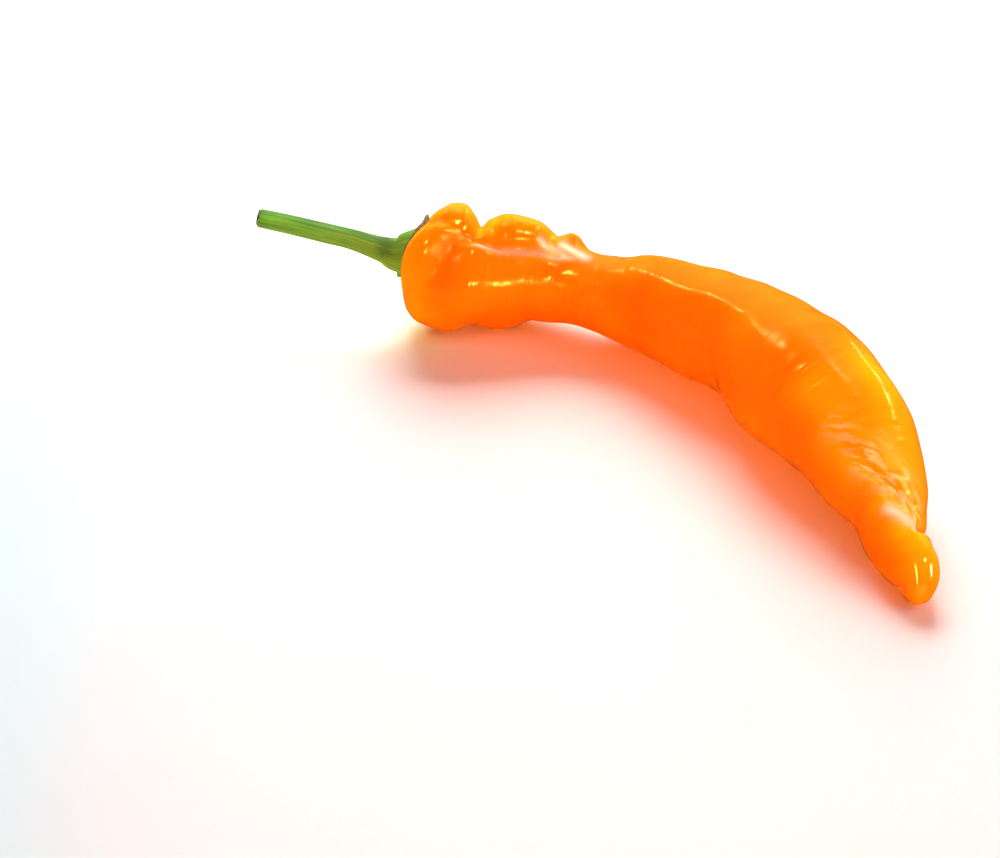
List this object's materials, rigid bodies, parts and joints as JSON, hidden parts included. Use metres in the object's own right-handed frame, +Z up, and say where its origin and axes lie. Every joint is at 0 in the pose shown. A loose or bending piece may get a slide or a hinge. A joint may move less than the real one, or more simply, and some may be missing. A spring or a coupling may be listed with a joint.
{
  "type": "sweet pepper",
  "caption": "Curved sweet pointed pepper with a lobed shoulder, a green sepal cup and a cut stem, lying on its side.",
  "frame": {"origin": "middle of the bounding box, on the surface the pepper rests on", "axes": "+X from the stem end to the pointed tip, +Z up from the surface it lies on, +Y to the outer side of the bend"},
  "size_m": [0.2538, 0.0892, 0.0399],
  "materials": {
    "pod": "gloss",
    "calyx": "satin",
    "stem": "satin"
  },
  "bodies": {
    "root": {"pod": "pod", "calyx": "calyx", "stem": "stem"}
  },
  "joints": []
}
